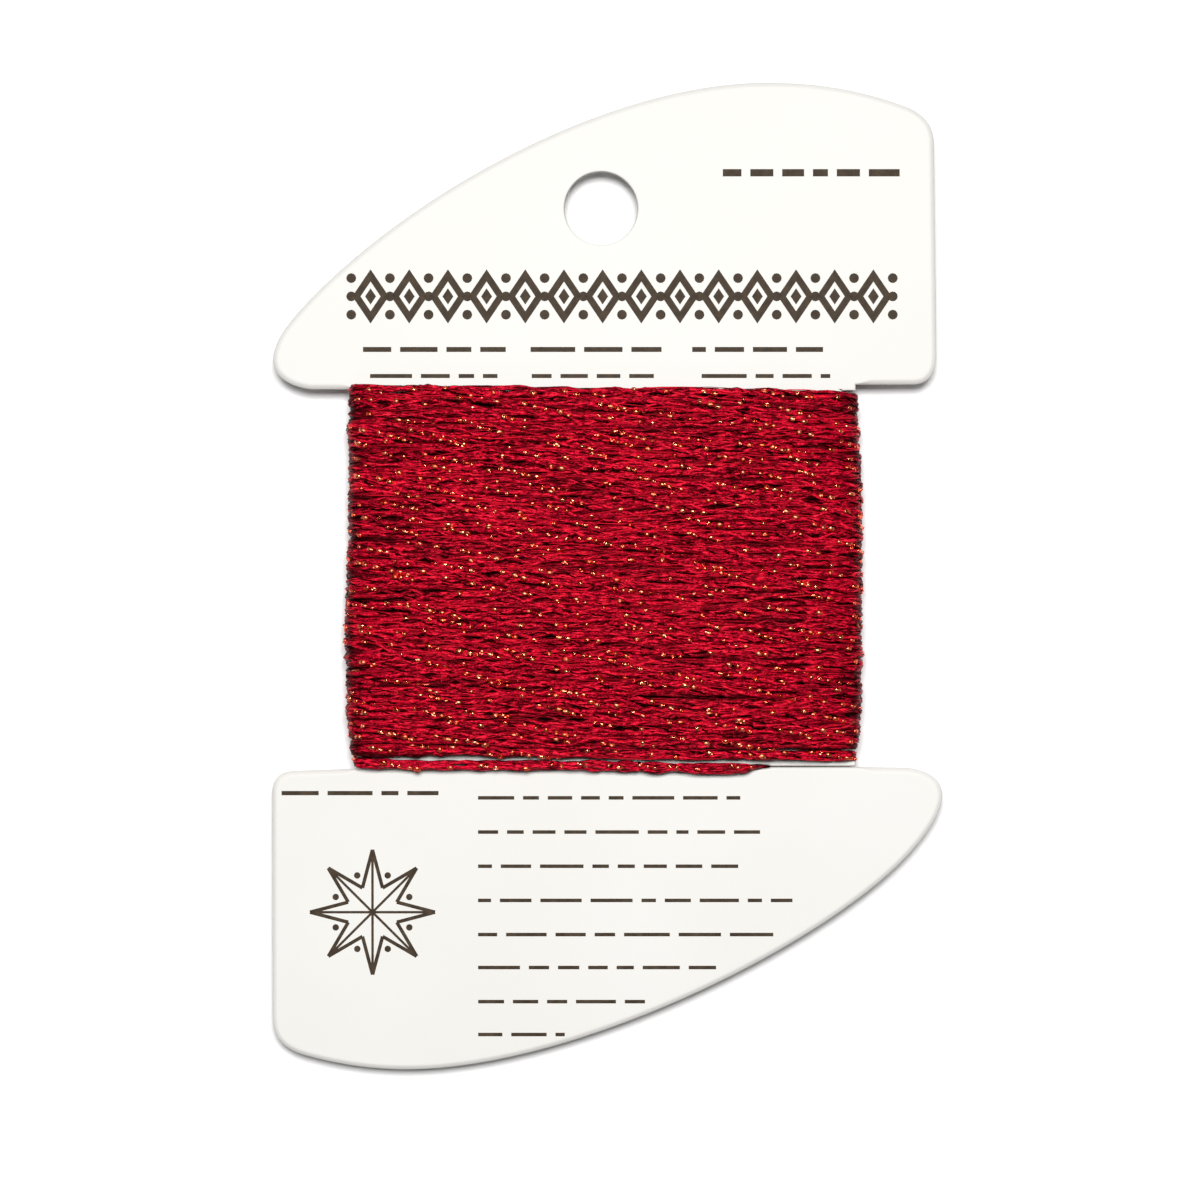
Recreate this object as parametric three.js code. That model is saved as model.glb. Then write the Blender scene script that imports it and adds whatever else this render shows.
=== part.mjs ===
// A card of metallic braid: a white die-cut board card, lying on its back, with red braid wound
// round its neck. The last turn stands a little apart and its end is tucked through a slit.
// Millimetres. +Z is out of the card's face, +Y towards the wing with the hang hole, and the
// origin is under the middle of the card, on the surface that the winding lies on.

import * as THREE from 'three';

// Driving dimensions
const boardThickness = 0.5;
const backThickness = 2.2; // braid behind the neck, which holds the wings clear of the surface
const braidDiameter = 1.0;
const touchGap = 0.3; // between pieces that touch

const holeDiameter = 6.2;
const holeCentre = new THREE.Vector2(-0.53, 31.19);

const slitKerf = 0.18;
const slitLength = 8.4;
const neckShoulder = 21.08; // half width of the neck beside the wings
const neckWaist = 19.95; // half width under the braid
const shoulderHeight = 0.55;

const rowCount = 29;
const rowGroove = 0.24; // depth of the groove between two turns
const frontCrown = 2.6; // from the middle of the board to the top of the pack
const backCrown = 2.85; // the part of it below the surface is pressed flat
const restSpot = { halfWidth: 13.5, halfLength: 12.4, snap: 1 }; // the flat that it rests on
const restRise = 0.13; // how much the back of the pack rises, at the least, in a mm away from there
const packEdgeCrown = 1.45; // the same where the pack thins out beside the wings
const thinningTurns = 1.3; // over about this many turns
const packSection = { points: 28, squareness: 4.5 }; // a squared oval
const looseness = { side: 0.1, height: 0.07, drift: 0.11, ripple: 0.05 }; // how far turns stray

const boardBack = backThickness;
const boardFace = boardBack + boardThickness;
const boardMiddle = (boardBack + boardFace) / 2;

// Each wing: its straight edges, then the curves round it. A curve starts where the one before
// it ends, leaves along c1 and arrives along c2.
const upperWing = {
  neckEdge: { rightY: 16.23, leftY: 15.8 },
  cornerStart: [26.0, 16.25],
  corner: { c1: [27.2, 16.27], c2: [27.92, 17.2], to: [27.92, 18.6] },
  sideEnd: [27.74, 36.7],
  brow: [
    { c1: [27.74, 38.2], c2: [27.0, 39.2], to: [25.4, 39.86] },
    { c1: [21.6, 41.3], c2: [17.8, 41.92], to: [13.6, 41.92] },
  ],
  sweep: { c1: [-0.5, 41.92], c2: [-18.0, 31.6], to: [-26.2, 22.4] },
  nose: { c1: [-31.4, 16.6], c2: [-25.6, 15.84], to: [-25.0, 15.84] },
};
const lowerWing = {
  neckEdge: { rightY: -16.26, leftY: -16.35 },
  cornerStart: [-26.6, -16.53],
  corner: { c1: [-27.8, -16.6], c2: [-28.42, -17.2], to: [-28.42, -18.4] },
  sideEnd: [-28.42, -37.4],
  brow: [
    { c1: [-28.42, -39.2], c2: [-27.6, -40.1], to: [-25.78, -40.68] },
    { c1: [-22.9, -41.5], c2: [-20.0, -41.92], to: [-17.0, -41.92] },
  ],
  sweep: { c1: [-2.5, -41.92], c2: [19.1, -30.95], to: [25.82, -23.35] },
  nose: { c1: [31.45, -17.0], c2: [26.4, -16.26], to: [25.0, -16.26] },
};

// How far the pack reaches to the left and right of the middle, down its length
const packSides = [
  { y: 16.0, left: -21.9, right: 21.15 },
  { y: 13.2, left: -22.0, right: 21.35 },
  { y: 8.1, left: -21.9, right: 21.6 },
  { y: 1.4, left: -22.05, right: 21.65 },
  { y: -3.7, left: -22.3, right: 21.6 },
  { y: -10.5, left: -22.15, right: 21.6 },
  { y: -13.9, left: -21.9, right: 21.4 },
  { y: -16.0, left: -21.65, right: 21.2 },
];

// The pack's two ends, which slope with the turns. On the front the last turn lies below it.
const packEnds = {
  top: { left: 16.1, right: 15.65 },
  frontBottom: { left: -15.0, right: -15.65 },
  backBottom: { left: -15.3, right: -15.7 },
  sideTop: 14.85,
  sideBottom: -15.1,
};

// Where the last turn goes through the card, and how the slit is spread open there
const tuck = { x: 12.2, y: -16.17, spreadX: 1.2, spreadY: 0.46 };
const pressed = { halfWide: 0.15, halfThick: 0.36, within: 0.75, from: 2.2 }; // the braid in the slit
const tailClearance = 0.15; // under the cut tail
const twist = { plies: 3, pitch: 9, depth: 0.1 }; // how the braid's plies lie

const boardWhite = new THREE.MeshStandardMaterial({ color: 0xf9f6f1, roughness: 0.45, metalness: 0 });
const braidRed = new THREE.MeshStandardMaterial({ color: 0x96121f, roughness: 0.5, metalness: 0.15 });

function curveTo(path, { c1, c2, to }) {
  path.bezierCurveTo(c1[0], c1[1], c2[0], c2[1], to[0], to[1]);
}

// Round a wing against the clock, from the end of its straight neck edge to the tip of its nose
function aroundWing(path, wing) {
  path.lineTo(...wing.cornerStart);
  curveTo(path, wing.corner);
  path.lineTo(...wing.sideEnd);
  wing.brow.forEach((curve) => curveTo(path, curve));
  curveTo(path, wing.sweep);
  curveTo(path, wing.nose);
}

function makeCard() {
  const { neckEdge: upperEdge } = upperWing;
  const { neckEdge: lowerEdge } = lowerWing;
  const outline = new THREE.Shape();
  outline.moveTo(neckShoulder, upperEdge.rightY);
  aroundWing(outline, upperWing);

  // The upper left slit runs into the card along the edge of the wing
  const upperLip = upperEdge.leftY - slitKerf;
  outline.lineTo(-neckShoulder + slitLength, upperEdge.leftY);
  outline.lineTo(-neckShoulder + slitLength, upperLip);
  outline.lineTo(-neckShoulder, upperLip);

  // Down the left side of the neck, set in between its shoulders
  outline.lineTo(-neckShoulder, upperLip - shoulderHeight);
  outline.lineTo(-neckWaist, upperLip - shoulderHeight);
  outline.lineTo(-neckWaist, lowerEdge.leftY + shoulderHeight);
  outline.lineTo(-neckShoulder, lowerEdge.leftY + shoulderHeight);
  outline.lineTo(-neckShoulder, lowerEdge.leftY);
  aroundWing(outline, lowerWing);

  // The lower right slit, spread round the braid at its inner end
  const lip = Math.asin(slitKerf / 2 / tuck.spreadY);
  const lipX = tuck.x + tuck.spreadX * Math.cos(lip);
  outline.lineTo(lipX, tuck.y - slitKerf / 2);
  outline.absellipse(tuck.x, tuck.y, tuck.spreadX, tuck.spreadY, -lip, lip, true);
  outline.lineTo(neckShoulder, tuck.y + slitKerf / 2);

  // Up the right side of the neck
  outline.lineTo(neckShoulder, tuck.y + slitKerf / 2 + shoulderHeight);
  outline.lineTo(neckWaist, tuck.y + slitKerf / 2 + shoulderHeight);
  outline.lineTo(neckWaist, upperEdge.rightY - shoulderHeight);
  outline.lineTo(neckShoulder, upperEdge.rightY - shoulderHeight);
  outline.closePath();

  const hole = new THREE.Path();
  hole.absarc(holeCentre.x, holeCentre.y, holeDiameter / 2, 0, 2 * Math.PI, true);
  outline.holes.push(hole);

  const geometry = new THREE.ExtrudeGeometry(outline, {
    depth: boardThickness,
    bevelEnabled: false,
    curveSegments: 14,
  });
  const card = new THREE.Mesh(geometry, boardWhite);
  card.name = 'card';
  card.position.z = boardBack;
  return card;
}

// A closed mesh from rings of points. Each ring joins the next one, and the last ring joins the
// first where the form is a tyre, or else both ends are closed with a fan.
function joinRings(rings, isTyre) {
  const around = rings[0].length;
  const positions = rings.flat().flatMap((p) => [p.x, p.y, p.z]);
  const faces = [];
  const joined = isTyre ? rings.length : rings.length - 1;
  for (let i = 0; i < joined; i++) {
    const here = i * around;
    const next = ((i + 1) % rings.length) * around;
    for (let j = 0; j < around; j++) {
      const k = (j + 1) % around;
      faces.push(here + j, here + k, next + k, here + j, next + k, next + j);
    }
  }
  if (!isTyre) {
    const last = (rings.length - 1) * around;
    for (let j = 1; j < around - 1; j++) {
      faces.push(0, j + 1, j, last, last + j, last + j + 1);
    }
  }
  const geometry = new THREE.BufferGeometry();
  geometry.setAttribute('position', new THREE.Float32BufferAttribute(positions, 3));
  geometry.setIndex(faces);
  geometry.computeVertexNormals();
  return geometry;
}

const { lerp, clamp, smoothstep } = THREE.MathUtils;

// A repeatable number from -1 to 1 that differs from turn to turn
function uneven(turn, which) {
  const value = Math.sin(turn * 12.9898 + which * 78.233) * 43758.5453;
  return 2 * (value - Math.floor(value)) - 1;
}

function packReach(y, side) {
  const below = packSides.findIndex((row) => row.y <= y);
  if (below === 0) return packSides[0][side];
  if (below < 0) return packSides[packSides.length - 1][side];
  const [a, b] = [packSides[below - 1], packSides[below]];
  return lerp(a[side], b[side], (a.y - y) / (a.y - b.y));
}

// The least height of the pack's back over the surface: none on the flat spot
function backHeight(x, y) {
  const besideX = Math.max(0, Math.abs(x) - restSpot.halfWidth);
  const besideY = Math.max(0, Math.abs(y) - restSpot.halfLength);
  return restRise * Math.hypot(besideX, besideY);
}

// One ring round the pack. along runs from 0 at the top end to 1 at the bottom end, lift is how
// far it stands out of the groove, and turn is the number of the turn that it belongs to.
function packRing(along, lift, turn) {
  const turnsFromEnd = Math.min(along, 1 - along) * rowCount;
  const build = 1 - Math.exp(-turnsFromEnd / thinningTurns);
  const reachY = lerp(packEnds.top.left, packEnds.frontBottom.left, along);
  const ring = [];
  for (let j = 0; j < packSection.points; j++) {
    const angle = (2 * Math.PI * (j + 0.5)) / packSection.points;
    const [across, up] = [Math.cos(angle), Math.sin(angle)];
    const inFront = up > 0;
    const side = across < 0 ? 'left' : 'right';
    const rounding = 2 / packSection.squareness;

    const sideShift = looseness.side * uneven(turn, across < 0 ? 1 : 2);
    const reach = Math.abs(packReach(reachY, side)) + sideShift - rowGroove + lift;
    let x = Math.sign(across) * reach * Math.abs(across) ** rounding;
    const isSpotEdge = !inFront && Math.abs(Math.abs(x) - restSpot.halfWidth) < restSpot.snap;
    if (isSpotEdge) x = Math.sign(x) * restSpot.halfWidth;

    const crown = lerp(packEdgeCrown, inFront ? frontCrown : backCrown, build);
    const height = crown + looseness.height * uneven(turn, inFront ? 3 : 4) - rowGroove + lift;
    const z = boardMiddle + Math.sign(up) * height * Math.abs(up) ** rounding;

    const slope = clamp((x + neckShoulder) / (2 * neckShoulder), 0, 1);
    const atSide = smoothstep(Math.abs(x), neckWaist - 3 * touchGap, neckWaist + touchGap);
    const bottomEdge = inFront ? packEnds.frontBottom : packEnds.backBottom;
    const faceTop = lerp(packEnds.top.left, packEnds.top.right, slope);
    const faceBottom = lerp(bottomEdge.left, bottomEdge.right, slope);
    const top = lerp(faceTop, packEnds.sideTop, atSide);
    const bottom = lerp(faceBottom, packEnds.sideBottom, atSide);
    const drift = looseness.drift * Math.sin(0.16 * x + 0.55 * turn)
      + looseness.ripple * Math.sin(0.43 * x - 1.7 * turn);
    const y = lerp(top, bottom, along) + drift * Math.sin(Math.PI * along);
    ring.push(new THREE.Vector3(x, y, Math.max(z, backHeight(x, y))));
  }
  return ring;
}

// The bore at one end of the pack: each point of the end ring brought in to the neck
function boreRing(endRing) {
  const halfWidth = neckWaist + touchGap;
  const halfHeight = boardThickness / 2 + touchGap;
  const knee = 0.8; // points further than this from the middle of the board meet a wide side
  return endRing.map(({ x, y, z }) => new THREE.Vector3(
    clamp(x, -halfWidth, halfWidth),
    y,
    boardMiddle + halfHeight * clamp((z - boardMiddle) / knee, -1, 1),
  ));
}

function makeWinding() {
  const profile = [ // one turn: the groove, then up and over its back
    { at: 0, lift: 0 },
    { at: 0.22, lift: rowGroove * 0.85 },
    { at: 0.5, lift: rowGroove },
    { at: 0.78, lift: rowGroove * 0.85 },
  ];
  const rings = [];
  for (let turn = 0; turn < rowCount; turn++) {
    for (const { at, lift } of profile) rings.push(packRing((turn + at) / rowCount, lift, turn));
  }
  rings.push(packRing(1, 0, rowCount));
  rings.push(boreRing(rings[rings.length - 1]), boreRing(rings[0]));

  const winding = new THREE.Mesh(joinRings(rings, true), braidRed);
  winding.name = 'winding';
  return winding;
}

// The last turn: across the front just below the pack, down through the spread slit, and a cut
// tail on the surface under the lower wing.
function makeBraidEnd() {
  const radius = braidDiameter / 2;
  const onFace = boardFace + touchGap + radius;
  const onSurface = radius + tailClearance;
  const middle = (onFace + onSurface) / 2;
  const route = new THREE.CatmullRomCurve3([
    [-21.2, -15.93, onFace],
    [-16.0, -15.96, onFace],
    [-10.5, -16.0, onFace],
    [-5.0, -16.02, onFace],
    [0.0, -16.08, onFace],
    [4.5, -16.2, onFace],
    [8.0, -16.28, onFace],
    [10.3, -16.25, onFace - 0.03],
    [11.45, tuck.y, onFace - 0.5],
    [tuck.x, tuck.y, middle],
    [12.95, tuck.y, onSurface + 0.5],
    [14.1, -16.3, onSurface + 0.03],
    [16.4, -16.9, onSurface],
    [19.2, -18.0, onSurface],
    [22.0, -19.6, onSurface],
  ].map((point) => new THREE.Vector3(...point)), false, 'centripetal');

  const steps = 62;
  const sides = 12;
  const turns = route.getLength() / twist.pitch;
  const rings = [];
  for (let i = 0; i <= steps; i++) {
    const centre = route.getPointAt(i / steps);
    const along = route.getTangentAt(i / steps);
    const wide = new THREE.Vector3(0, 1, 0).addScaledVector(along, -along.y).normalize();
    const thick = new THREE.Vector3().crossVectors(along, wide);
    const thinned = 1 - smoothstep(Math.abs(centre.x - tuck.x), pressed.within, pressed.from);
    const halfWide = lerp(radius, pressed.halfWide, thinned);
    const halfThick = lerp(radius, pressed.halfThick, thinned);
    const ring = [];
    for (let j = 0; j < sides; j++) {
      const angle = (2 * Math.PI * j) / sides;
      const ply = Math.cos(twist.plies * (angle - (2 * Math.PI * turns * i) / steps));
      const reach = 1 - twist.depth * (1 - ply);
      ring.push(centre.clone()
        .addScaledVector(wide, halfWide * reach * Math.cos(angle))
        .addScaledVector(thick, halfThick * reach * Math.sin(angle)));
    }
    rings.push(ring);
  }
  const braidEnd = new THREE.Mesh(joinRings(rings, false), braidRed);
  braidEnd.name = 'braid_end';
  return braidEnd;
}

const cardOfBraid = new THREE.Group();
cardOfBraid.name = 'card_of_braid';
cardOfBraid.add(makeCard(), makeWinding(), makeBraidEnd());

export default cardOfBraid;
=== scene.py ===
# A card of metallic braid: a white die-cut card with red silk and metal braid wound round its neck.
# Everything is worked out in millimetres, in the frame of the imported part, and made in metres.

import math

import bpy
import numpy as np
from mathutils.geometry import delaunay_2d_cdt
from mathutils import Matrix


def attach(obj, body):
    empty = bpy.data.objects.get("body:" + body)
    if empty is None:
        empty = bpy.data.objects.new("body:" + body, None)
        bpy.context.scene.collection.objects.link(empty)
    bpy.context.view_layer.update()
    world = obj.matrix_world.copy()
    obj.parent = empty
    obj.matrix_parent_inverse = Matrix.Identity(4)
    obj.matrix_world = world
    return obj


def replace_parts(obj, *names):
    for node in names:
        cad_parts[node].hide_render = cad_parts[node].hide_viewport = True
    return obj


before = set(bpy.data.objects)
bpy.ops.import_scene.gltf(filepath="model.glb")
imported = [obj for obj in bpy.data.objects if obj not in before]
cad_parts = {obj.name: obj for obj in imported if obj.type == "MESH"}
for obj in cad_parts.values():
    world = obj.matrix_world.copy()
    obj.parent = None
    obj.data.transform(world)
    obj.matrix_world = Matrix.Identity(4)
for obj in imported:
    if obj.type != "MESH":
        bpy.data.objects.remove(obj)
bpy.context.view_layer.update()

mm = 0.001
fullTurn = 2 * math.pi


# Camera, straight above the card

view = {
    "middle": (-0.614, -2.034),  # what the picture is centred on
    "height": 285.2,  # over the floor
    "lens": 100,
    "sensor": 36,
}

cameraData = bpy.data.cameras.new("camera")
cameraData.lens = view["lens"]
cameraData.sensor_width = view["sensor"]
cameraData.clip_end = 10  # metres
camera = bpy.data.objects.new("camera", cameraData)
camera.location = [place * mm for place in (*view["middle"], view["height"])]
bpy.context.scene.collection.objects.link(camera)
bpy.context.scene.camera = camera
bpy.context.scene.view_settings.view_transform = "Standard"
print("camera placed")


# Shader sums

# A socket of a material. The usual operators on it add the Math nodes for them.
class Shade:
    def __init__(self, tree, socket=None):
        self.tree = tree
        self.socket = socket

    # Any node: its settings first, then the values or links of its sockets
    def node(self, kind, settings, inputs, output=0):
        made = self.tree.nodes.new(kind)
        for name, value in settings.items():
            setattr(made, name, value)
        for name, value in inputs.items():
            if isinstance(value, Shade):
                self.tree.links.new(value.socket, made.inputs[name])
            else:
                made.inputs[name].default_value = value
        return Shade(self.tree, made.outputs[output])

    def maths(self, operation, *values):
        return self.node("ShaderNodeMath", {"operation": operation}, dict(enumerate(values)))

    def __add__(self, other):
        return self.maths("ADD", self, other)

    def __radd__(self, other):
        return self.maths("ADD", other, self)

    def __sub__(self, other):
        return self.maths("SUBTRACT", self, other)

    def __rsub__(self, other):
        return self.maths("SUBTRACT", other, self)

    def __mul__(self, other):
        return self.maths("MULTIPLY", self, other)

    def __rmul__(self, other):
        return self.maths("MULTIPLY", other, self)

    # A smooth step from 0 at low to 1 at high
    def step(self, low, high):
        sockets = {"Value": self, "From Min": low, "From Max": high}
        return self.node("ShaderNodeMapRange", {"interpolation_type": "SMOOTHSTEP"}, sockets)

    def attribute(self, name, output="Vector"):
        return self.node("ShaderNodeAttribute", {"attribute_name": name}, {}, output)

    def objectPlace(self):
        return self.node("ShaderNodeTexCoord", {}, {}, "Object")

    def stretched(self, factors):
        return self.node("ShaderNodeVectorMath", {"operation": "MULTIPLY"}, {0: self, 1: factors})

    # Noise round about 0.5, self being the place
    def noise(self, scale, detail=2.0, roughness=0.5):
        sockets = {"Vector": self, "Scale": scale, "Detail": detail, "Roughness": roughness}
        return self.node("ShaderNodeTexNoise", {}, sockets, "Fac")

    # A mix of two colours, self being the share of the second
    def mix(self, first, second):
        colours = {6: first, 7: second}
        for place, colour in colours.items():
            if not isinstance(colour, Shade):
                colours[place] = (*colour, 1)
        return self.node("ShaderNodeMix", {"data_type": "RGBA"}, {0: self, **colours}, 2)


# A material, the start of its sums and its Principled shader
def newMaterial(name, settings):
    material = bpy.data.materials.new(name)
    material.use_nodes = True
    shader = material.node_tree.nodes["Principled BSDF"]
    for socket, value in settings.items():
        shader.inputs[socket].default_value = value
    return material, Shade(material.node_tree), shader.inputs


def plug(source, socket):
    source.tree.links.new(source.socket, socket)


def bumpOf(height, strength, distance, socket):
    depth = {"Height": height, "Strength": strength, "Distance": distance * mm}
    plug(height.node("ShaderNodeBump", {}, depth), socket)


# Meshes

# A mesh object from an array of points in mm and lists of faces, smooth all over
def newPiece(name, points, faces, material, attributes=None, flat=False):
    mesh = bpy.data.meshes.new(name)
    mesh.vertices.add(len(points))
    mesh.vertices.foreach_set("co", (np.asarray(points, float) * mm).astype(np.float32).ravel())
    sizes = np.concatenate([np.full(len(group), group.shape[1]) for group in faces])
    starts = np.cumsum(sizes) - sizes
    corners = np.concatenate([group.ravel() for group in faces])
    mesh.loops.add(len(corners))
    mesh.loops.foreach_set("vertex_index", corners.astype(np.int32))
    mesh.polygons.add(len(sizes))
    mesh.polygons.foreach_set("loop_start", starts.astype(np.int32))
    mesh.polygons.foreach_set("use_smooth", np.full(len(sizes), not flat))
    for label, values in (attributes or {}).items():
        values = np.asarray(values, np.float32)
        kind = "FLOAT" if values.ndim == 1 else "FLOAT_VECTOR"
        field = "value" if values.ndim == 1 else "vector"
        mesh.attributes.new(label, kind, "POINT").data.foreach_set(field, values.ravel())
    mesh.update(calc_edges=True)
    mesh.validate()
    mesh.materials.append(material)
    piece = bpy.data.objects.new(name, mesh)
    bpy.context.scene.collection.objects.link(piece)
    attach(piece, "root")
    return piece


# The faces of a tube of points[ring, place round it]. Points run against the clock round the way
# that the tube goes. Open ends get a fan round one more point each, added after the rings.
def tubeFaces(rings, around, isTyre=False):
    ring = np.arange(rings if isTyre else rings - 1)[:, None]
    place = np.arange(around)
    nextPlace = (place + 1) % around
    here, there = ring * around, ((ring + 1) % rings) * around
    quads = np.stack([here + place, here + nextPlace, there + nextPlace, there + place], -1).reshape(-1, 4)
    if isTyre:
        return [quads]
    startTip, endTip, last = rings * around, rings * around + 1, (rings - 1) * around
    start = np.stack([np.full(around, startTip), nextPlace, place], -1)
    end = np.stack([np.full(around, endTip), last + place, last + nextPlace], -1)
    return [quads, np.concatenate([start, end])]


# The same faces for each of a count of like shapes, whose points follow each other
def repeated(groups, count, pointsEach, first=0):
    shift = (np.arange(count) * pointsEach)[:, None, None] + first
    return [(group[None] + shift).reshape(-1, group.shape[1]) for group in groups]


def unit(vectors):
    return vectors / np.maximum(np.linalg.norm(vectors, axis=-1, keepdims=True), 1e-9)


def smoothStep(x, low, high):
    t = np.clip((x - low) / (high - low), 0, 1)
    return t * t * (3 - 2 * t)


waveCount, waveScale = 14, 4.2


# A wandering number of about -1 to 1 along a length: a sum of sines of chance wave lengths
def wander(along, shortest, longest, seed):
    chance = np.random.RandomState(seed)
    waves = np.exp(chance.uniform(np.log(shortest), np.log(longest), waveCount))
    phases = chance.uniform(0, fullTurn, waveCount)
    return np.sin(fullTurn * along[..., None] / waves + phases).sum(-1) / waveScale


# Values smoothed by a bell curve of a reach in steps
def softened(values, reach):
    spread = np.exp(-0.5 * (np.arange(-3 * reach, 3 * reach + 1) / reach) ** 2)
    padded = np.pad(values, 3 * reach, mode="edge")
    return np.convolve(padded, spread / spread.sum(), mode="valid")


# Card

card = {
    "back": 2.2,
    "face": 2.7,
    "rim": (  # the rim that the die presses: how far in and how far down its profile goes
        (0.42, 0), (0.36, 0.012), (0.26, 0.07), (0.15, 0.15),
        (0.05, 0.25), (0, 0.34), (0, 0.45), (0.05, 0.5),
    ),
    "backInset": 0.12,
    "level": 0.12,  # a level ring inside the rim
    "narrow": {  # where the die cuts without pressing, the rim is this share as wide
        "neck": 0.24, "hole": 0.15, "belowY": 17, "fromX": (21.2, 22.6),
    },
    "step": 0.4,  # between the points of the outline
    "grid": {"from": (-28, -41.6), "to": (28.5, 42), "step": 1.6, "clear": 0.6},  # points inside it
    "droop": 0.0006,  # of the wings, times the square of the way past levelTo
    "levelTo": 16,
    "hole": {"middle": (-0.53, 31.19), "radius": 3.1, "points": 72},
    "kerf": 0.07,
    "slitLength": 8.4,
    "shoulder": 21.08,
    "waist": 19.95,
    "shoulderHeight": 0.55,
    # the slit where it is spread round the braid's end
    "spread": {"x": 12.9, "y": -16.17, "halfLong": 1.0, "halfWide": 0.17, "points": 30},
    "upper": {
        "rightY": 16.23, "leftY": 15.8, "cornerStart": (26.0, 16.25),
        "corner": ((27.2, 16.27), (27.92, 17.2), (27.92, 18.6)), "sideEnd": (27.74, 36.7),
        "round": [
            ((27.74, 38.2), (27.0, 39.2), (25.4, 39.86)),
            ((21.6, 41.3), (17.8, 41.92), (13.6, 41.92)),
            ((-0.5, 41.92), (-18.0, 31.6), (-26.2, 22.4)),
            ((-31.4, 16.6), (-25.6, 15.84), (-25.0, 15.84)),
        ],
    },
    "lower": {
        "rightY": -16.26, "leftY": -16.35, "cornerStart": (-26.6, -16.53),
        "corner": ((-27.8, -16.6), (-28.42, -17.2), (-28.42, -18.4)), "sideEnd": (-28.42, -37.4),
        "round": [
            ((-28.42, -39.2), (-27.6, -40.1), (-25.78, -40.68)),
            ((-22.9, -41.5), (-20.0, -41.92), (-17.0, -41.92)),
            ((-2.5, -41.92), (19.1, -30.95), (25.82, -23.35)),
            ((31.45, -17.0), (26.4, -16.26), (25.0, -16.26)),
        ],
    },
}


# Points along a cubic curve from start, whose handles are c1 and c2
def curvePoints(start, c1, c2, end, count=60):
    t = np.linspace(0, 1, count)[1:, None]
    start, c1, c2, end = (np.array(p, float) for p in (start, c1, c2, end))
    return (1 - t) ** 3 * start + 3 * (1 - t) ** 2 * t * c1 + 3 * (1 - t) * t * t * c2 + t ** 3 * end


def wingPoints(wing):
    run = [np.array([wing["cornerStart"]], float)]
    run.append(curvePoints(wing["cornerStart"], *wing["corner"]))
    run.append(np.array([wing["sideEnd"]], float))
    for curve in wing["round"]:
        run.append(curvePoints(run[-1][-1], *curve))
    return np.concatenate(run)


# The outline against the clock, as corner points that straight lines join
def cardOutline():
    upper, lower, shoulder, waist = card["upper"], card["lower"], card["shoulder"], card["waist"]
    slit, kerf, high, spread = card["slitLength"], card["kerf"], card["shoulderHeight"], card["spread"]
    lip, half, y = upper["leftY"] - kerf, kerf / 2, spread["y"]
    start = math.asin(half / spread["halfWide"])
    angles = np.linspace(-start, start - fullTurn, spread["points"])
    eye = np.stack([
        spread["x"] + spread["halfLong"] * np.cos(angles),
        y + spread["halfWide"] * np.sin(angles),
    ], -1)
    return np.concatenate([
        [[shoulder, upper["rightY"]]],
        wingPoints(upper),
        [[-shoulder + slit, upper["leftY"]], [-shoulder + slit, lip], [-shoulder, lip]],
        [[-shoulder, lip - high], [-waist, lip - high]],
        [[-waist, lower["leftY"] + high], [-shoulder, lower["leftY"] + high], [-shoulder, lower["leftY"]]],
        wingPoints(lower),
        [[shoulder, y - half]],
        eye,
        [[shoulder, y + half], [shoulder, y + half + high], [waist, y + half + high]],
        [[waist, upper["rightY"] - high], [shoulder, upper["rightY"] - high]],
    ])


# The same outline with a point every step of its length, corners kept
def evenly(points, step):
    ends = np.roll(points, -1, axis=0)
    counts = np.maximum(1, np.ceil(np.linalg.norm(ends - points, axis=1) / step)).astype(int)
    which = np.repeat(np.arange(len(points)), counts)
    share = (np.arange(len(which)) - np.repeat(np.cumsum(counts) - counts, counts)) / counts[which]
    return points[which] + share[:, None] * (ends - points)[which]


# An outline moved in by a distance, along the mean of the normals of the two sides at each point
def movedIn(points, distance):
    ahead = unit(np.roll(points, -1, axis=0) - points)
    behind = unit(points - np.roll(points, 1, axis=0))
    inward = unit(np.stack([-(ahead + behind)[:, 1], (ahead + behind)[:, 0]], -1))
    lengthening = 1 / np.clip((inward * np.stack([-ahead[:, 1], ahead[:, 0]], -1)).sum(-1), 0.6, 1)
    return points + inward * (distance * lengthening)[:, None]


# How wide the rim is: narrow along the neck and its slits, and full round the wings
def rimShare(points):
    narrow = card["narrow"]
    x, y = np.abs(points).T
    near = narrow["neck"] + (1 - narrow["neck"]) * smoothStep(x, *narrow["fromX"])
    return np.where(y > narrow["belowY"], 1, near)


def droopAt(y):
    return -card["droop"] * np.maximum(0, np.abs(y) - card["levelTo"]) ** 2


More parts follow.
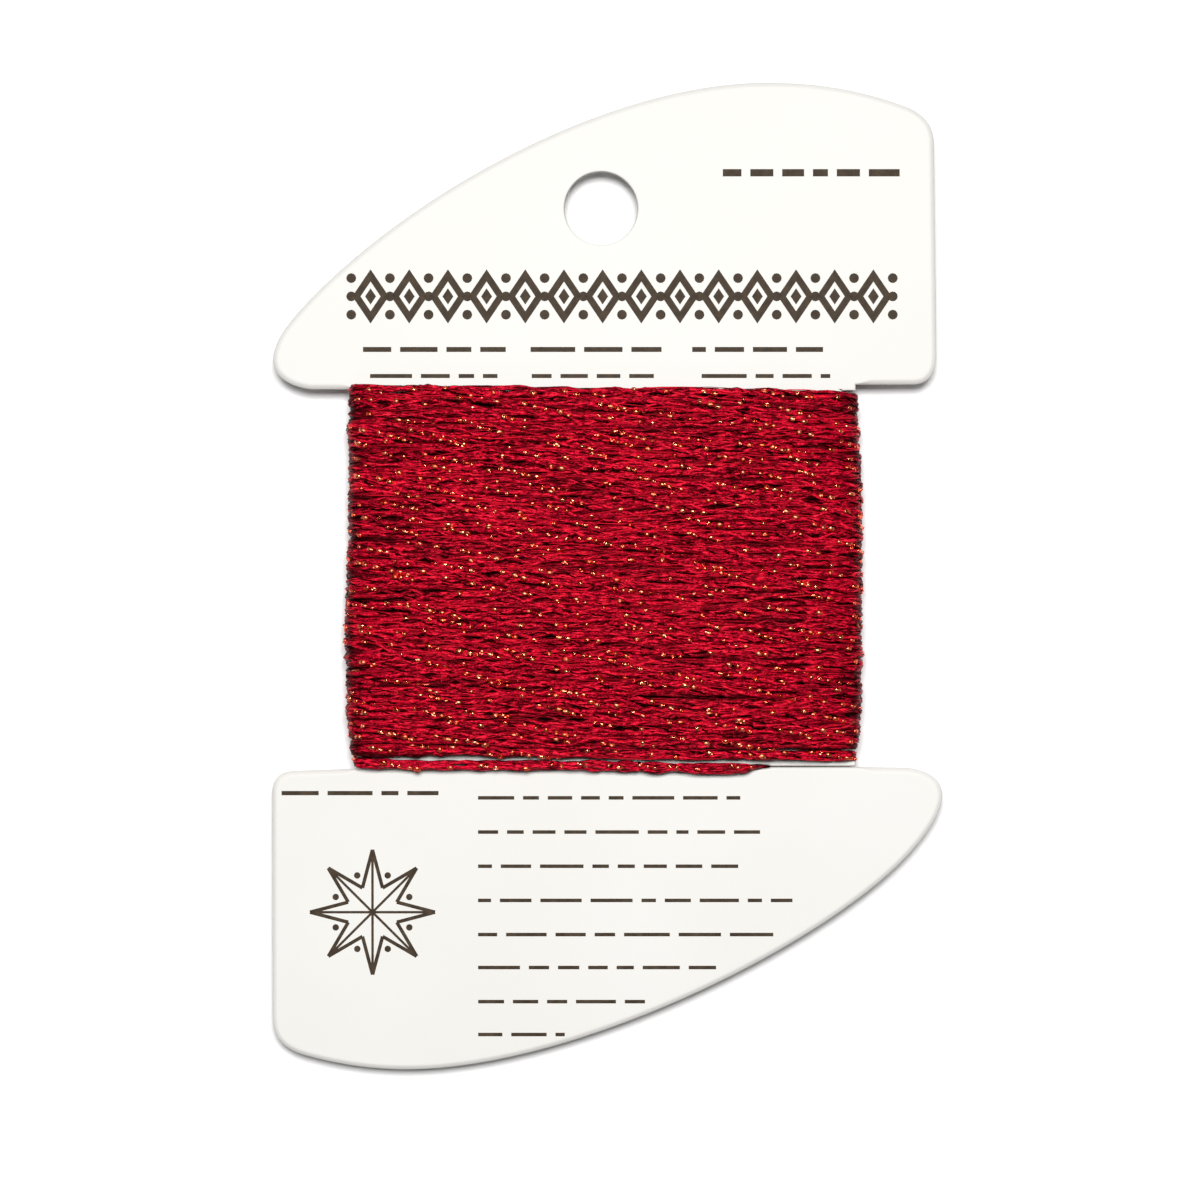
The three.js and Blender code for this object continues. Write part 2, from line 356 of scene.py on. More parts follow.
# The rim is a rounded profile carried along the outline and round the hole, and the two faces
# are triangles between its inner rings, with a grid of points inside
def makeCard(material):
    outline = evenly(cardOutline(), card["step"])
    around = np.linspace(0, fullTurn, card["hole"]["points"], endpoint=False)
    middle, radius = np.array(card["hole"]["middle"]), card["hole"]["radius"]
    hole = middle + radius * np.stack([np.cos(around), -np.sin(around)], -1)
    loops = ((outline, rimShare(outline)), (hole, card["narrow"]["hole"]))
    back, face = card["back"], card["face"]
    rim = np.array(card["rim"])[::-1]
    insets = np.concatenate([[card["backInset"]], rim[:, 0], rim[-1:, 0]])
    heights = np.concatenate([[back], face - rim[:, 1], [face]])
    rings = len(insets)
    further = np.where(np.arange(rings) == rings - 1, card["level"], 0)

    points, groups, nearCutEdge = [], [], []
    for loop, share in loops:
        first, count = sum(map(len, points)), len(loop)
        points.append(np.concatenate([
            np.column_stack([movedIn(loop, inset * share + more), np.full(count, height)])
            for inset, more, height in zip(insets, further, heights)
        ]))
        ring = np.arange(rings - 1)[:, None] * count
        here, after = np.arange(count), (np.arange(count) + 1) % count
        quads = [ring + here, ring + after, ring + after + count, ring + here + count]
        groups.append(np.stack(quads, -1).reshape(-1, 4) + first)
        nearCutEdge.append(np.repeat(np.interp(insets, [0, rim[-1, 0]], [1, 0]), count))

    grid, (left, low), (right, high) = card["grid"], card["grid"]["from"], card["grid"]["to"]
    columns, rows = np.arange(left, right, grid["step"]), np.arange(low, high, grid["step"])
    spots = np.stack(np.meshgrid(columns, rows), -1).reshape(-1, 2)
    inner = np.concatenate([movedIn(loop, insets[-1] * share + card["level"]) for loop, share in loops])
    near = np.linalg.norm(spots[:, None] - inner[None], axis=-1).min(1)
    isBoard = np.linalg.norm(spots - middle, axis=1) > radius
    spots = np.concatenate([inner, spots[(near > grid["clear"]) & isBoard]])
    edge, bore = len(outline), len(hole)
    sides = [(i, (i + 1) % edge) for i in range(edge)]
    sides += [(edge + i, edge + (i + 1) % bore) for i in range(bore)]
    triangles = np.array(delaunay_2d_cdt([tuple(spot) for spot in spots], sides, [], 1, 1e-7)[2])
    triangles = triangles[((triangles < edge) | (triangles >= edge + bore)).any(1)]
    used = np.unique(triangles[triangles >= edge + bore])
    place = np.zeros(len(spots), int)
    for isFace in (False, True):
        start = sum(map(len, points))
        lastRing = rings - 1 if isFace else 0
        place[:edge] = lastRing * edge + np.arange(edge)
        place[edge:edge + bore] = rings * edge + lastRing * bore + np.arange(bore)
        place[used] = start + np.arange(len(used))
        points.append(np.column_stack([spots[used], np.full(len(used), face if isFace else back)]))
        nearCutEdge.append(np.zeros(len(used)))
        groups.append(place[triangles] if isFace else place[triangles][:, ::-1])
    points = np.concatenate(points)
    points[:, 2] += droopAt(points[:, 1])
    attributes = {"nearCutEdge": np.concatenate(nearCutEdge)}
    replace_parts(newPiece("cardBoard", points, groups, material, attributes), "card")


# Winding

pack = {
    "y": (-16.0, -13.9, -10.5, -3.7, 1.4, 8.1, 13.2, 16.0),
    "left": (21.65, 21.9, 22.15, 22.3, 22.05, 21.9, 22.0, 21.9),  # how far it reaches at each y
    "right": (21.2, 21.4, 21.6, 21.6, 21.65, 21.6, 21.35, 21.15),
    "middle": 2.45,
    "front": 2.6,  # from the middle of the board to the top of the pack
    "behind": 2.4,
    "thin": 1.45,  # the same at its two ends
    "thinTurns": 1.3,
    "squareness": 4.0,
    "even": {"half": 21.3, "crown": 2.1, "points": 6001},  # the oval that even steps are taken on
}
turns = {
    "count": 29,
    "from": (-0.5, 0, 28.06, 28.5, 29.03),  # the thread's place down the pack, by turns
    "y": (15.2, 15.6, -14.72, -15.24, -15.8),
    "perTurn": 160,  # points of the thread's line
    "strayY": 0.3, "strayLift": 0.16,
    "wavesY": (16, 60), "wavesLift": (7, 40),  # shortest and longest
    "endTurns": 0.4,  # of the last turn that are held tight
    "loose": (0.2, 2.5), "looseShare": 0.75, "held": (0, 0.6),  # turns from an end to stray freely
    "sideCalm": 0.6, "sideShape": 8,  # how much less they lift at the pack's edges
    "tucked": 0.8, "tuckedTo": (-0.5, -0.05),  # the start lies under the pack's top
    "ragged": (0.06, 30, 150), "raggedFrom": 1000,  # in and out, turn by turn
    "endBuild": 0.1,  # turns of build that the first and last turn have already
    "lowest": 0.36,  # above the floor, for the middle of the thread
    "closest": 0.8,  # that two turns come
    "wide": 0.68, "thick": 0.36,  # half sizes of the thread
    "endWide": 0.5, "narrowing": (0.9, 1.6),  # for the last turn, which lies apart
    "pieces": 2,
    "seeds": {"y": 3, "lift": 4, "ragged": 5, "thread": 11},
}
settling = {"rounds": 50, "push": 0.35, "backY": 0.03, "backLift": 0.06}
yarns = {
    "count": 8,  # half of them wind one way round the thread and half the other
    "sides": 4,
    "wide": 0.21, "thick": 0.17,
    "pitch": 18.0,
    "over": 0.12,  # how far a yarn stands out where it crosses over another, as a share
    "outer": 0.07,  # how much further out one half of them lie
    # how much each wanders, with its shortest and longest waves in mm
    "rise": (0.08, 3, 12), "stray": (0.34, 3, 20), "uneven": (0.22, 2, 14),
    "threadSize": (0.07, 4, 30), "threadTurn": (0.8, 9, 60),  # and the thread as a whole
    "fibreTwist": 6.0,  # mm for a turn of its own fibres
    "fibreRadius": 0.3, "fibreShift": 17.3,  # of the pattern on it, and from yarn to yarn
    "creviceShade": 0.8,  # painted shade: how much the sides of a yarn are dimmed next to its top
    "edge": 0.19,  # painted shade: how much the braid is dimmed where it starts to go round the edges of the pack
}


# The power of a size that keeps its sign
def raised(values, power):
    return np.sign(values) * np.abs(values) ** power


# Even steps of length round the pack: the angle at each share of a turn, from the left edge over
# the front to the right and back behind
def evenAngles():
    even, power = pack["even"], 2 / pack["squareness"]
    angle = np.linspace(math.pi, -math.pi, even["points"])
    x = even["half"] * raised(np.cos(angle), power)
    z = even["crown"] * raised(np.sin(angle), power)
    length = np.append(0, np.cumsum(np.hypot(np.diff(x), np.diff(z))))
    return length[-1], length / length[-1], angle


turnLength, turnShares, turnAngles = evenAngles()


# The place and the way out on the pack's squared oval: |x/half|^n + |z/crown|^n = 1 at each y, where
# the crown goes from thin to full with the build of the layers
def onPack(turn, y, inset, build):
    angle = np.interp(turn % 1, turnShares, turnAngles)
    across, up = np.cos(angle), np.sin(angle)
    power = 2 / pack["squareness"]
    left, right = (np.interp(y, pack["y"], pack[edge]) for edge in ("left", "right"))
    half = np.where(across < 0, left, right)
    full = np.where(up > 0, pack["front"], pack["behind"])
    half, crown = half - inset, pack["thin"] + (full - pack["thin"]) * build - inset
    x, z = half * raised(across, power), crown * raised(up, power)
    place = np.stack([x, y, pack["middle"] + z], -1)
    outX, outZ = raised(across, 2 - power) / half, raised(up, 2 - power) / crown
    return place, unit(np.stack([outX, 0 * outX, outZ], -1))


# How far each turn has built the pack up, from its distance in turns to the pack's end
def buildUp(fromEnd):
    return 1 - np.exp(-np.maximum(fromEnd, 0) / pack["thinTurns"])


# Near 1 at the pack's two edges and near 0 over its front and back
def sideways(turn):
    return np.abs(np.cos(np.interp(turn % 1, turnShares, turnAngles))) ** turns["sideShape"]


# Lets neighbouring turns push each other aside and up or down until none is closer than closest
def settled(y, lift):
    restY, restLift, perTurn = y.copy(), lift.copy(), turns["perTurn"]
    for _ in range(settling["rounds"]):
        besideY, besideLift = y[:-perTurn] - y[perTurn:], lift[:-perTurn] - lift[perTurn:]
        apart = np.maximum(np.hypot(besideY, besideLift), 0.1)
        push = settling["push"] * np.maximum(0, turns["closest"] - apart) / apart
        y[:-perTurn] += push * besideY
        y[perTurn:] -= push * besideY
        lift[:-perTurn] += push * besideLift
        lift[perTurn:] -= push * besideLift
        y = softened(y + settling["backY"] * (restY - y), 1)
        lift = softened(lift + settling["backLift"] * (restLift - lift), 1)
    return y, lift


# A thread's line with what its surface needs: its length so far, the way out and to the side at
# each point, its half sizes and how far its yarns have turned
def threadLine(centre, out, wide, thick, lift, seed):
    along = unit(np.gradient(centre, axis=0))
    out = unit(out - (out * along).sum(-1, keepdims=True) * along)
    length = np.append(0, np.cumsum(np.linalg.norm(np.diff(centre, axis=0), axis=1)))
    (uneven, *sizeWaves), (unturned, *turnWaves) = yarns["threadSize"], yarns["threadTurn"]
    return {
        "length": length, "centre": centre, "out": out, "side": np.cross(out, along), "lift": lift,
        "wide": wide * (1 + uneven * wander(length, *sizeWaves, seed + 1)),
        "thick": thick * (1 + uneven * wander(length, *sizeWaves, seed + 2)),
        "turned": fullTurn * length / yarns["pitch"] + unturned * wander(length, *turnWaves, seed),
        "seed": seed,
    }


# Values of a thread at lengths along it
def alongThread(thread, name, length):
    values = thread[name]
    if values.ndim == 1:
        return np.interp(length, thread["length"], values)
    return np.stack([np.interp(length, thread["length"], values[:, i]) for i in range(3)], -1)


# A place at an angle round the thread's oval and a little above it, and the way that the oval faces
def onThread(thread, length, angle, proud):
    wide, thick = alongThread(thread, "wide", length), alongThread(thread, "thick", length)
    side, out = alongThread(thread, "side", length), alongThread(thread, "out", length)
    across, up = np.cos(angle)[..., None], np.sin(angle)[..., None]
    place = alongThread(thread, "centre", length)
    place = place + side * across * (wide + proud)[..., None] + out * up * (thick + proud)[..., None]
    return place, unit(side * across / wide[..., None] + out * up / thick[..., None])


# A stretch of braid: each yarn is an oval section carried along a helix on the thread's own oval.
# Half of the helices turn one way and half the other, and cos(3 * turned) moves the yarns of one
# half out and of the other half in, so that they pass over and under by turns
def braidPiece(name, thread, first, last, material):
    count, sides, wide, thick = yarns["count"], yarns["sides"], yarns["wide"], yarns["thick"]
    length, turned = thread["length"][first:last], thread["turned"][first:last]
    side, out = thread["side"][None, first:last], thread["out"][None, first:last]
    seeds = [thread["seed"] + 30 + 5 * i for i in range(count)]

    def ownWander(name, more):
        share, shortest, longest = yarns[name]
        return share * np.stack([wander(length, shortest, longest, seed + more) for seed in seeds])

    way = np.where(np.arange(count) % 2 == 0, 1, -1)[:, None]
    over = 1 + way * (yarns["over"] * np.cos(count / 2 * turned) + yarns["outer"]) + ownWander("rise", 0)
    angle = way * turned + fullTurn * (np.arange(count) // 2)[:, None] / (count / 2)
    angle = angle + ownWander("stray", 1)
    across, up = np.cos(angle)[..., None], np.sin(angle)[..., None]
    roomWide = ((thread["wide"][first:last] - wide) * over)[..., None]
    roomThick = ((thread["thick"][first:last] - thick) * over)[..., None]
    centre = thread["centre"][None, first:last] + side * across * roomWide + out * up * roomThick
    along = unit(np.gradient(centre, axis=1))
    facing = side * across * roomThick + out * up * roomWide
    facing = unit(facing - (facing * along).sum(-1, keepdims=True) * along)
    beside = np.cross(facing, along)
    swell = 1 + ownWander("uneven", 2)[..., None, None]
    corner = fullTurn * np.arange(sides) / sides
    places = centre[:, :, None] + swell * (
        beside[:, :, None] * (wide * np.cos(corner))[:, None]
        + facing[:, :, None] * (thick * np.sin(corner))[:, None]
    )

    # For the material: how high each point lies, lowered as painted shade at the sides of each yarn
    # and where the braid turns round the pack's edges, and its place on a length of twisted fibres
    height = ((places - thread["centre"][None, first:last, None]) * out[:, :, None]).sum(-1)
    height = height + thread["lift"][first:last, None] + yarns["creviceShade"] * thick * (np.sin(corner) - 1)
    # Painted shade: darker where the braid faces sideways round the pack's edges
    slant = 2 * np.abs(thread["out"][first:last, 0] * thread["out"][first:last, 2])
    height = height - yarns["edge"] * slant[:, None]
    twisted = corner + fullTurn * length[None, :, None] / yarns["fibreTwist"] * way[..., None]
    shift = yarns["fibreShift"] * np.arange(count)[:, None, None]
    shifted = length[None, :, None] + shift + 0 * twisted
    radius = yarns["fibreRadius"]
    fibre = np.stack([shifted, radius * np.cos(twisted), radius * np.sin(twisted)], -1)

    places[..., 2] = np.maximum(places[..., 2], 0.0)
    points = np.concatenate([places.reshape(count, -1, 3), centre[:, [0, -1]]], 1)
    fibres = np.concatenate([fibre.reshape(count, -1, 3), fibre[:, [0, -1], 0]], 1)
    heights = np.concatenate([height.reshape(count, -1), height[:, [0, -1], 0]], 1)
    faces = repeated(tubeFaces(len(length), sides), count, points.shape[1])
    attributes = {"fibre": fibres.reshape(-1, 3), "height": heights.ravel()}
    return newPiece(name, points.reshape(-1, 3), faces, material, attributes)


# The outer layer is one thread wound from the top of the pack to its bottom
def outerThread():
    seeds = turns["seeds"]
    turn = np.arange(turns["from"][0], turns["from"][-1], 1 / turns["perTurn"])
    travelled = turn * turnLength
    fromEnd = np.minimum(turn - turns["from"][0], turns["count"] - turns["endTurns"] - turn)
    free = turns["looseShare"] * smoothStep(fromEnd, *turns["loose"])
    free = free + (1 - turns["looseShare"]) * smoothStep(fromEnd, *turns["held"])
    y = np.interp(turn, turns["from"], turns["y"])
    y = y + turns["strayY"] * free * wander(travelled, *turns["wavesY"], seeds["y"])
    calm = 1 - turns["sideCalm"] * sideways(turn)
    lift = turns["strayLift"] * free * calm * wander(travelled, *turns["wavesLift"], seeds["lift"])
    y, lift = settled(y, lift)
    tucked = turns["tucked"] * (1 - smoothStep(turn, *turns["tuckedTo"]))
    share, shortest, longest = turns["ragged"]
    ragged = share * wander(travelled + turns["raggedFrom"], shortest, longest, seeds["ragged"])
    build = buildUp(fromEnd + turns["endBuild"])
    centre, out = onPack(turn, y, turns["thick"] + tucked + ragged, build)
    centre = centre + out * lift[:, None]
    centre[:, 2] = np.maximum(centre[:, 2], turns["lowest"])
    full = smoothStep(turns["count"] - turn, *turns["narrowing"])
    wide = turns["endWide"] + (turns["wide"] - turns["endWide"]) * full
    return threadLine(centre, out, wide, turns["thick"], lift, seeds["thread"])


# The layer below it is wound back up, so it lies with the opposite slope
under = {
    "turns": (0.65, 28.4), "y": (-14.75, 15.2),
    "inset": 0.62, "sideInset": 0.36,
    "strayY": 0.25, "strayLift": 0.14,
    "endBuild": 0.5,
    "lowest": 0.4,
    "depth": 0.3,  # painted shade: what its silk is dimmed by
    "seeds": {"y": 31, "lift": 32, "thread": 41},
}


def underThread():
    seeds = under["seeds"]
    turn = np.arange(*under["turns"], 1 / turns["perTurn"])
    travelled = turn * turnLength
    y = np.interp(turn, under["turns"], under["y"])
    y = y + under["strayY"] * wander(travelled, *turns["wavesY"], seeds["y"])
    lift = under["strayLift"] * wander(travelled, *turns["wavesLift"], seeds["lift"])
    y, lift = settled(y, lift)
    fromEnd = np.minimum(turn - under["turns"][0], under["turns"][1] - turn)
    inset = under["inset"] + (under["sideInset"] - under["inset"]) * sideways(turn)
    centre, out = onPack(turn, y, inset, buildUp(fromEnd + under["endBuild"]))
    centre = centre + out * lift[:, None]
    centre[:, 2] = np.maximum(centre[:, 2], under["lowest"])
    # The depth lowers only the height attribute, which paints shade on its silk
    return threadLine(centre, out, turns["wide"], turns["thick"], lift - under["depth"], seeds["thread"])


def makeTurns(name, thread, silk):
    cuts = np.linspace(0, len(thread["length"]) - 1, turns["pieces"] + 1).astype(int)
    for i in range(turns["pieces"]):
        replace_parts(braidPiece(f"{name}{i + 1}", thread, cuts[i], cuts[i + 1] + 1, silk), "winding")


# What is left between the layers and the card's neck is filled by a sleeve, an oval tyre whose
# inner wall fits the neck; its silk is coloured near black as painted shade
sleeve = {
    "inset": 1.0,
    "points": 96, "rings": 16,
    "y": (-14.7, 15.0),
    "ends": (-15.1, 15.4), "build": 1.4,  # where its crown would be thin, and how soon it is full
    "neck": {"half": 20.3, "thick": 0.55, "blend": 0.8},
    "height": -1.0,  # painted shade: all of it is coloured as dark as the deepest gaps between yarns
}


def makeSleeve(silk):
    share = np.linspace(0, 1, sleeve["points"] + 1)[:-1]
    turn, y = np.meshgrid(share, np.linspace(*sleeve["y"], sleeve["rings"]))
    fromEnd = np.minimum(sleeve["ends"][1] - y, y - sleeve["ends"][0])
    outer, _ = onPack(turn, y, sleeve["inset"], 1 - np.exp(-fromEnd / sleeve["build"]))
    neck, inner = sleeve["neck"], outer[[-1, 0]].copy()
    up = np.clip((inner[..., 2] - pack["middle"]) / neck["blend"], -1, 1)
    inner[..., 0] = np.clip(inner[..., 0], -neck["half"], neck["half"])
    inner[..., 2] = pack["middle"] + neck["thick"] * up
    rings = np.concatenate([outer, inner])
    points = rings.reshape(-1, 3)
    attributes = {"fibre": 0 * points, "height": np.full(len(points), sleeve["height"])}
    faces = tubeFaces(len(rings), len(share), isTyre=True)
    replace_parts(newPiece("windingShadeSleeve", points, faces, silk, attributes), "winding")


# Short strips along a thread, each a closed band of four corners carried slantwise over it, its
# ends diving in. They come in strings: apart is the way from string to string, and within one.
# Film is crinkled metal that comes up between the yarns, near-black strips of it beside the
# bright ones are painted shade, and strays are loose filaments of the silk
film = {
    "apart": ((0.9, 3.3), (0.5, 1.0)), "fresh": 0.45,  # share of strips that start a string
    "long": (0.28, 0.7), "wide": (0.14, 0.23), "thick": 0.012,  # half sizes
    "startAngle": (35, 120), "slant": 20, "turn": (2, 12),  # degrees: where, in a mm, and in a strip
    "roll": 20, "crumple": 0.015,  # degrees of crinkle, and how far it goes in and out
    "rings": 6, "proud": (0.02, 0.08), "dive": 0.1, "tone": (0.5, 1), "seed": 81,
}
# Painted shade: narrow strips of low tone, coloured near black
shadeStrips = {
    "apart": ((1.0, 2.6), (0.5, 1.0)), "fresh": 0.8,
    "long": (0.5, 1.3), "wide": (0.04, 0.075), "thick": 0.01,
    "startAngle": (40, 115), "slant": 20, "turn": (8, 28), "roll": 10, "crumple": 0,
    "rings": 6, "proud": (-0.01, 0.03), "dive": 0.06, "tone": (0, 0.4), "seed": 82,
}
strays = {
    "apart": ((0.6, 2.4), (0.6, 2.4)), "fresh": 1,
    "long": (2.5, 6.0), "wide": (0.022, 0.032), "thick": 0.02,
    "startAngle": (25, 155), "slant": 0, "turn": (-60, 40), "roll": 20, "crumple": 0,
    "rings": 6, "proud": (-0.03, 0.02), "dive": 0.08, "tone": (0, 1), "seed": 85,
}
lowestStrip = 0.01  # over the floor


def makeStrips(name, thread, first, last, look, material):
    chance = np.random.RandomState(look["seed"])
    share = (look["fresh"], 1 - look["fresh"])
    count = int((last - first) / np.dot(share, np.mean(look["apart"], axis=1)))
    isFresh = chance.uniform(0, 1, count) < look["fresh"]
    isFresh[0] = True
    between, within = look["apart"]
    steps = np.where(isFresh, chance.uniform(*between, count), chance.uniform(*within, count))
    starts = first + np.cumsum(steps)
    strings = np.cumsum(isFresh) - 1
    fromFresh = starts - starts[isFresh][strings]
    angles = chance.uniform(*look["startAngle"], isFresh.sum())[strings] + look["slant"] * fromFresh
    kept = starts < last - look["long"][1]
    starts, angles = starts[kept], angles[kept]
    count, rings = len(starts), look["rings"]
    t = 0.5 - 0.5 * np.cos(np.linspace(0, math.pi, rings))[None]
    length = starts[:, None] + chance.uniform(*look["long"], count)[:, None] * t
    angle = np.radians(angles[:, None] + chance.uniform(*look["turn"], count)[:, None] * t)
    proud = chance.uniform(*look["proud"], (count, 1)) - look["dive"] * (2 * t - 1) ** 4
    proud = proud + look["crumple"] * chance.uniform(-1, 1, (count, rings))
    centre, facing = onThread(thread, length, angle, proud)
    along = unit(np.gradient(centre, axis=1))
    across = unit(np.cross(facing, along))
    facing = np.cross(along, across)
    roll = chance.uniform(-1, 1, (count, 1)) + chance.uniform(-1, 1, (count, rings))
    roll = np.radians(look["roll"]) * roll
    tilted = across * np.cos(roll)[..., None] + facing * np.sin(roll)[..., None]
    facing = np.cross(along, tilted)
    half = chance.uniform(*look["wide"], count)[:, None] * (1 - 0.5 * (2 * t - 1) ** 6)
    corners = [(1, -1), (1, 1), (-1, 1), (-1, -1)]
    places = np.stack([
        centre + tilted * (half * a)[..., None] + facing * look["thick"] * b for a, b in corners
    ], 2)
    points = np.concatenate([places.reshape(count, -1, 3), centre[:, [0, -1]]], 1)
    points[..., 2] = np.maximum(points[..., 2], lowestStrip)
    pointsEach = points.shape[1]
    faces = repeated(tubeFaces(rings, 4), count, pointsEach)
    tone = np.repeat(chance.uniform(*look["tone"], count), pointsEach)
    return newPiece(name, points.reshape(-1, 3), faces, material, {"tone": tone})


# The braid's end: the last turn, which crosses the front, goes down through the slit and ends in
# a cut tail under the lower wing
braidEnd = {
    "route": (
        (-21.2, -15.82, 3.5), (-16.5, -15.98, 3.5), (-10.5, -16.0, 3.5), (-5.0, -16.02, 3.5),
        (0.0, -16.08, 3.5), (4.5, -16.2, 3.5), (8.4, -16.28, 3.5), (11.4, -16.25, 3.45),
        (12.5, -16.17, 2.95), (13.1, -16.17, 2.075), (13.7, -16.17, 1.15), (14.7, -16.3, 0.68),
        (16.4, -16.9, 0.65), (19.2, -18.0, 0.65), (22.0, -19.6, 0.65),
    ),
    "step": 0.25,  # the cord's path has every fourth of them
    "diameter": 1.0,
    "wide": 0.5, "thick": 0.42,
    "tuck": 13.1,  # x of the slit that pinches it
    "pinch": {"wide": 0.26, "thick": 0.8, "from": 1.7, "within": 0.4},
    "filmFrom": 0.3, "filmShort": 10.5,  # no film on the tail
    "seed": 71, "filmSeed": 73,
}
lineSteps = 3000


# A smooth line through points, with the slope at each from its neighbours at the root of their
# distances, cut into even steps
def lineThrough(points, step):
    points = np.array(points, float)
    knots = np.append(0, np.cumsum(np.linalg.norm(np.diff(points, axis=0), axis=1) ** 0.5))
    gaps = np.diff(knots)[:, None]
    slopes = np.diff(points, axis=0) / gaps
    tangents = np.concatenate([
        slopes[:1],
        slopes[:-1] + slopes[1:] - (points[2:] - points[:-2]) / (gaps[:-1] + gaps[1:]),
        slopes[-1:],
    ])
    at = np.linspace(0, knots[-1], lineSteps)
    i = np.clip(np.searchsorted(knots, at, side="right") - 1, 0, len(gaps) - 1)
    gap = gaps[i]
    t = (at[:, None] - knots[i][:, None]) / gap
    line = (2 * t ** 3 - 3 * t ** 2 + 1) * points[i] + (t ** 3 - 2 * t ** 2 + t) * gap * tangents[i]
    line = line + (3 * t ** 2 - 2 * t ** 3) * points[i + 1] + (t ** 3 - t ** 2) * gap * tangents[i + 1]
    length = np.append(0, np.cumsum(np.linalg.norm(np.diff(line, axis=0), axis=1)))
    even = np.linspace(0, length[-1], int(length[-1] / step) + 1)
    return np.stack([np.interp(even, length, line[:, k]) for k in range(3)], -1), length[-1]


def makeBraidEnd(silk, metal):
    centre, length = lineThrough(braidEnd["route"], braidEnd["step"])
    out = np.cross(unit(np.gradient(centre, axis=0)), [0, 1, 0])
    pinch = braidEnd["pinch"]
    free = smoothStep(np.abs(centre[:, 0] - braidEnd["tuck"]), pinch["within"], pinch["from"])
    wide = braidEnd["wide"] * (pinch["wide"] + (1 - pinch["wide"]) * free)
    thick = braidEnd["thick"] * (pinch["thick"] + (1 - pinch["thick"]) * free)
    thread = threadLine(centre, out, wide, thick, 0 * wide, braidEnd["seed"])
    piece = braidPiece("braidEnd", thread, 0, len(centre), silk)
    first, last = braidEnd["filmFrom"], thread["length"][-1] - braidEnd["filmShort"]
    look = {**film, "seed": braidEnd["filmSeed"]}
    strips = makeStrips("braidEndFilm", thread, first, last, look, metal)
    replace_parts(piece, "braid_end")
    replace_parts(strips, "braid_end")


# Print: a band of lozenges, running-stitch rules and a star, in dark brown ink a hair thick
ink = {
    "thick": 0.012, "sunk": 0.01,
    "band": {
        "x": (-21.7, 24.2), "y": 23.7, "count": 14, "high": 4.6, "wide": 3.1,
        "line": 0.7, "heart": 0.3, "dot": 0.42, "dotRows": (-1.55, 0, 1.55),
    },
    "stitch": {"long": (1.0, 3.9), "gap": 0.75, "shortest": 0.4, "most": 40},
    "rules": (  # from x, to x, y, thickness
        (9.8, 24.8, 34.2, 0.62),
        (-20.7, -8.6, 19.2, 0.42), (-6.5, 5.0, 19.2, 0.42), (7.2, 19.1, 19.2, 0.42),
        (-20.1, -9.3, 16.95, 0.34), (-6.4, 4.6, 16.95, 0.34), (8.0, 18.9, 16.95, 0.34),
        (-27.6, -14.3, -18.4, 0.36),
        (-10.95, 11.9, -18.8, 0.3), (-10.95, 14.0, -21.7, 0.3), (-10.95, 11.1, -24.6, 0.3),
        (-10.95, 15.7, -27.5, 0.3), (-10.95, 14.6, -30.4, 0.3), (-10.95, 9.6, -33.2, 0.3),
        (-10.95, 3.2, -36.1, 0.3), (-10.95, -3.6, -38.9, 0.3),
    ),
    "star": {
        "middle": (-19.9, -28.5), "radius": 5.3, "points": 8, "inner": 0.42,
        "line": 0.3, "ray": 0.21, "dot": 0.28, "dotOut": 1.15,
    },
    "dotSides": 12,
    "seed": 91,
}


# A closed plate for each flat shape, which is an array of corners against the clock
def plates(shapes, first):
    count, corners = shapes.shape[:2]
    base = card["face"] + droopAt(shapes[..., 1])
    low = np.concatenate([shapes, (base - ink["sunk"])[..., None]], -1)
    high = np.concatenate([shapes, (base + ink["thick"])[..., None]], -1)
    points = np.concatenate([low, high], 1).reshape(-1, 3)
    here, after = np.arange(corners), (np.arange(corners) + 1) % corners
    sides = np.stack([here, after, after + corners, here + corners], -1)
    groups = [sides, (here + corners)[None], here[::-1][None]]
    return points, repeated(groups, count, 2 * corners, first)


# Bars of one thickness between pairs of points
def bars(starts, ends, thickness):
    starts, ends = np.asarray(starts, float), np.asarray(ends, float)
    aside = unit(ends - starts)[:, ::-1] * [-1, 1] * np.asarray(thickness).reshape(-1, 1) / 2
    return np.stack([starts - aside, ends - aside, ends + aside, starts + aside], 1)


